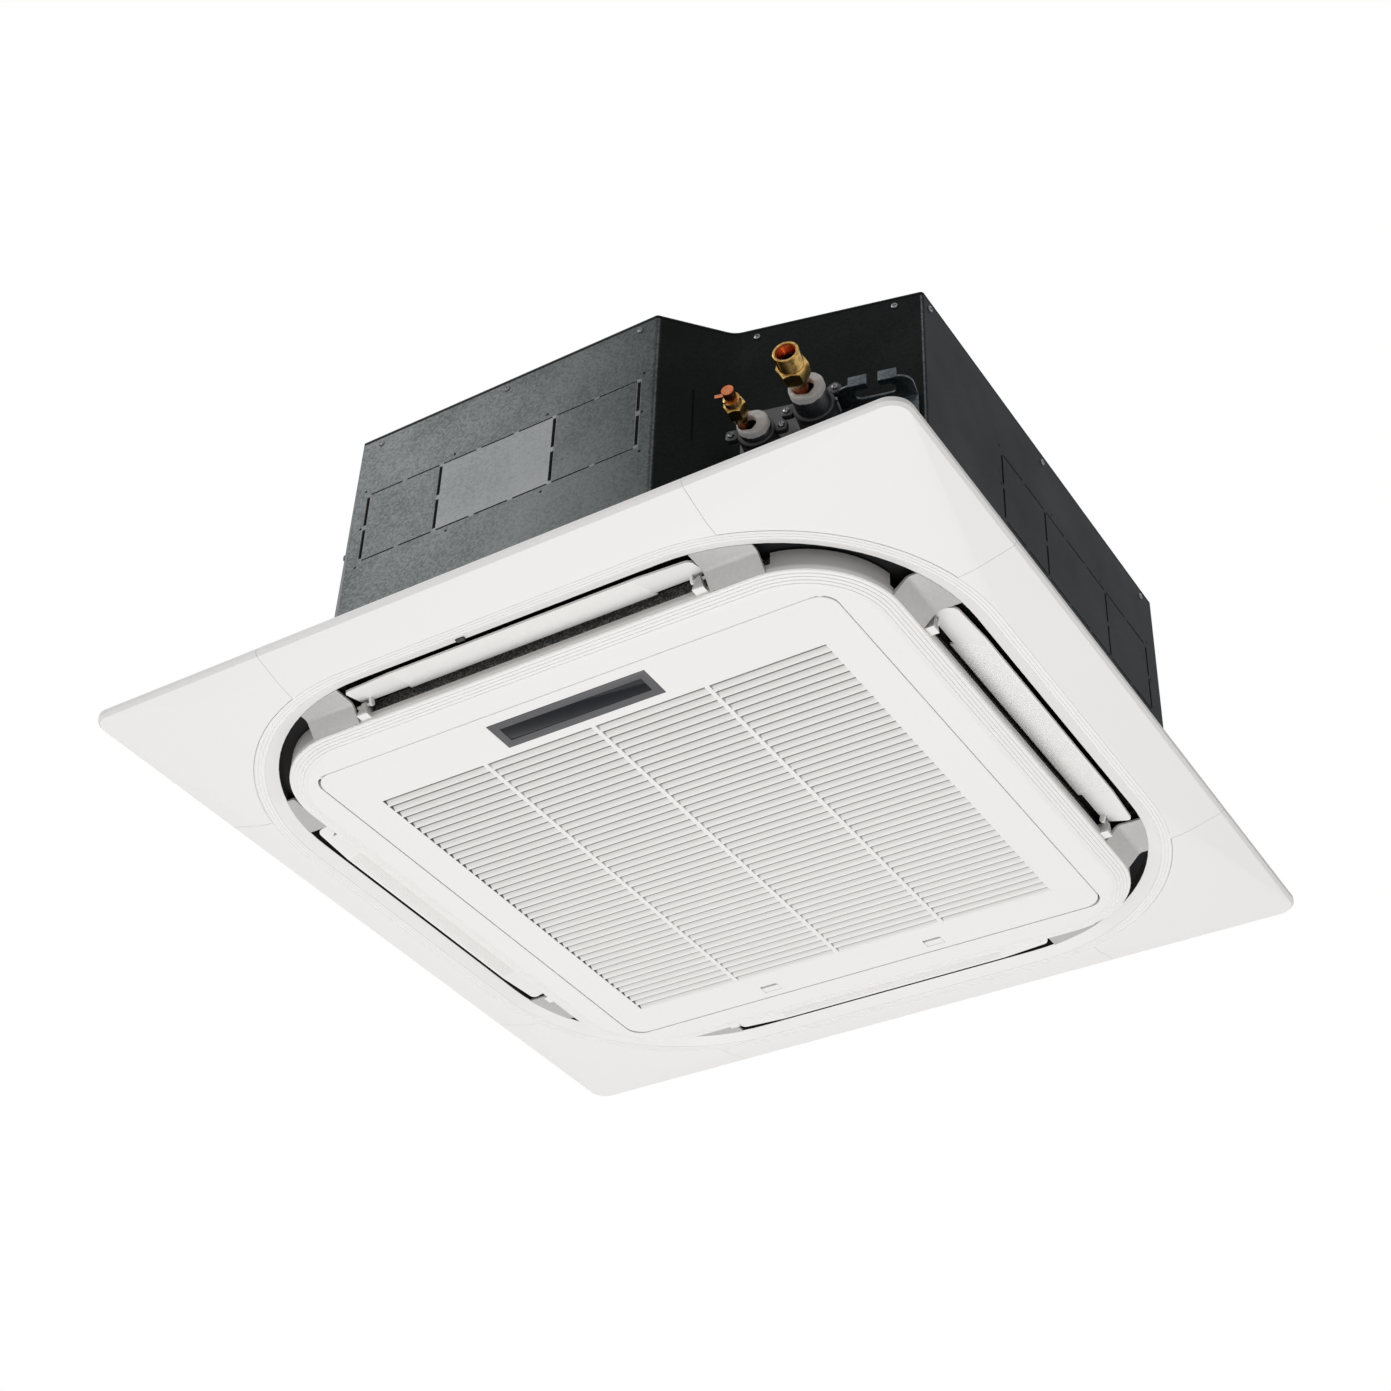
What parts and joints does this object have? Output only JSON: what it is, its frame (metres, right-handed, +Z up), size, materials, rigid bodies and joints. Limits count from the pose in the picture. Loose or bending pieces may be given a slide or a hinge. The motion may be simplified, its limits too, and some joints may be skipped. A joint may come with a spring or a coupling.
{
  "type": "ceiling cassette air conditioner",
  "caption": "Square ceiling cassette air conditioner: dark steel cabinet with pipe stubs and hangers above a white panel with a slatted intake grille and swinging louvres.",
  "frame": {"origin": "middle of the panel, on the ceiling plane where the panel's rim meets the ceiling", "axes": "+Z up into the ceiling, -Y towards the edge with the display, +X to the right of it seen from above with the display towards the viewer"},
  "size_m": [0.95, 0.95, 0.3384],
  "materials": {
    "panel_white": "satin white moulding",
    "bridge_grey": "satin light grey moulding",
    "cabinet_steel": "dark coated sheet steel",
    "zinc_steel": "zinc plated",
    "screw_steel": "bright plated",
    "black_plastic": "matte black moulding",
    "white_foam": "pressed bead foam",
    "dark_foam": "pressed bead foam, dark",
    "seal_foam": "soft black foam",
    "sleeve_foam": "soft light grey foam",
    "copper": "drawn copper",
    "brass": "turned brass",
    "fin_aluminium": "finned",
    "motor_paint": "black painted",
    "mount_rubber": "matte",
    "drain_plastic": "matte grey",
    "bezel_grey": "satin dark grey",
    "window_dark": "smoked"
  },
  "bodies": {
    "unit": {"panel_frame": "panel_white", "corner_cover_front_left": "panel_white", "corner_cover_front_right": "panel_white", "corner_cover_back_left": "panel_white", "corner_cover_back_right": "panel_white", "island_frame": "panel_white", "bridge_front_a": "bridge_grey", "bridge_front_b": "bridge_grey", "bridge_right_a": "bridge_grey", "bridge_right_b": "bridge_grey", "bridge_back_a": "bridge_grey", "bridge_back_b": "bridge_grey", "bridge_left_a": "bridge_grey", "bridge_left_b": "bridge_grey", "cabinet_shell": "cabinet_steel", "cabinet_top": "cabinet_steel", "hanger_front_left": "zinc_steel", "hanger_front_right": "zinc_steel", "hanger_back_left": "zinc_steel", "hanger_back_right": "zinc_steel", "control_box": "zinc_steel", "control_box_cover": "zinc_steel", "cabinet_screws": "screw_steel", "pipe_plate_screws": "screw_steel", "pipe_plate": "black_plastic", "louvre_motor_front": "black_plastic", "louvre_motor_right": "black_plastic", "louvre_motor_back": "black_plastic", "louvre_motor_left": "black_plastic", "bell_mouth": "black_plastic", "drain_pump": "black_plastic", "terminal_block": "black_plastic", "cabinet_liner": "white_foam", "drain_pan": "dark_foam", "panel_seal": "seal_foam", "gas_pipe_sleeve": "sleeve_foam", "liquid_pipe_sleeve": "sleeve_foam", "gas_pipe": "copper", "liquid_pipe": "copper", "liquid_pipe_cap": "copper", "coil_headers": "copper", "gas_flare_nut": "brass", "liquid_flare_nut": "brass", "heat_exchanger": "fin_aluminium", "fan_motor": "motor_paint", "motor_mounts": "mount_rubber", "drain_outlet": "drain_plastic"},
    "louvre_front": {"louvre_front": "panel_white"},
    "louvre_right": {"louvre_right": "panel_white"},
    "louvre_back": {"louvre_back": "panel_white"},
    "louvre_left": {"louvre_left": "panel_white"},
    "fan": {"fan_wheel": "black_plastic", "motor_shaft": "screw_steel", "fan_nut": "screw_steel"},
    "grille": {"intake_grille": "panel_white", "air_filter": "black_plastic", "display_bezel": "bezel_grey", "display_window": "window_dark"},
    "latch_left": {"grille_latch_left": "panel_white"},
    "latch_right": {"grille_latch_right": "panel_white"}
  },
  "joints": [
    {"name": "louvre_back_hinge", "type": "hinge", "parent": "unit", "child": "louvre_back", "pos_m": [0, 0.361, -0.015], "axis": [-1, 0, 0], "range_deg": [-28, 30]},
    {"name": "louvre_left_hinge", "type": "hinge", "parent": "unit", "child": "louvre_left", "pos_m": [-0.361, 0, -0.015], "axis": [0, -1, 0], "range_deg": [-28, 30]},
    {"name": "louvre_front_hinge", "type": "hinge", "parent": "unit", "child": "louvre_front", "pos_m": [0, -0.361, -0.015], "axis": [1, 0, 0], "range_deg": [-28, 30]},
    {"name": "louvre_right_hinge", "type": "hinge", "parent": "unit", "child": "louvre_right", "pos_m": [0.361, 0, -0.015], "axis": [0, 1, 0], "range_deg": [-28, 30]},
    {"name": "fan_spin", "type": "hinge", "parent": "unit", "child": "fan", "pos_m": [0, 0, 0.2], "axis": [0, 0, 1], "continuous": true},
    {"name": "grille_hinge", "type": "hinge", "parent": "unit", "child": "grille", "pos_m": [0, -0.3065, -0.0364], "axis": [-1, 0, 0], "range_deg": [0, 80]},
    {"name": "latch_left_slide", "type": "slide", "parent": "grille", "child": "latch_left", "axis": [0, -1, 0], "range_m": [0, 0.004]},
    {"name": "latch_right_slide", "type": "slide", "parent": "grille", "child": "latch_right", "axis": [0, -1, 0], "range_m": [0, 0.004]}
  ]
}
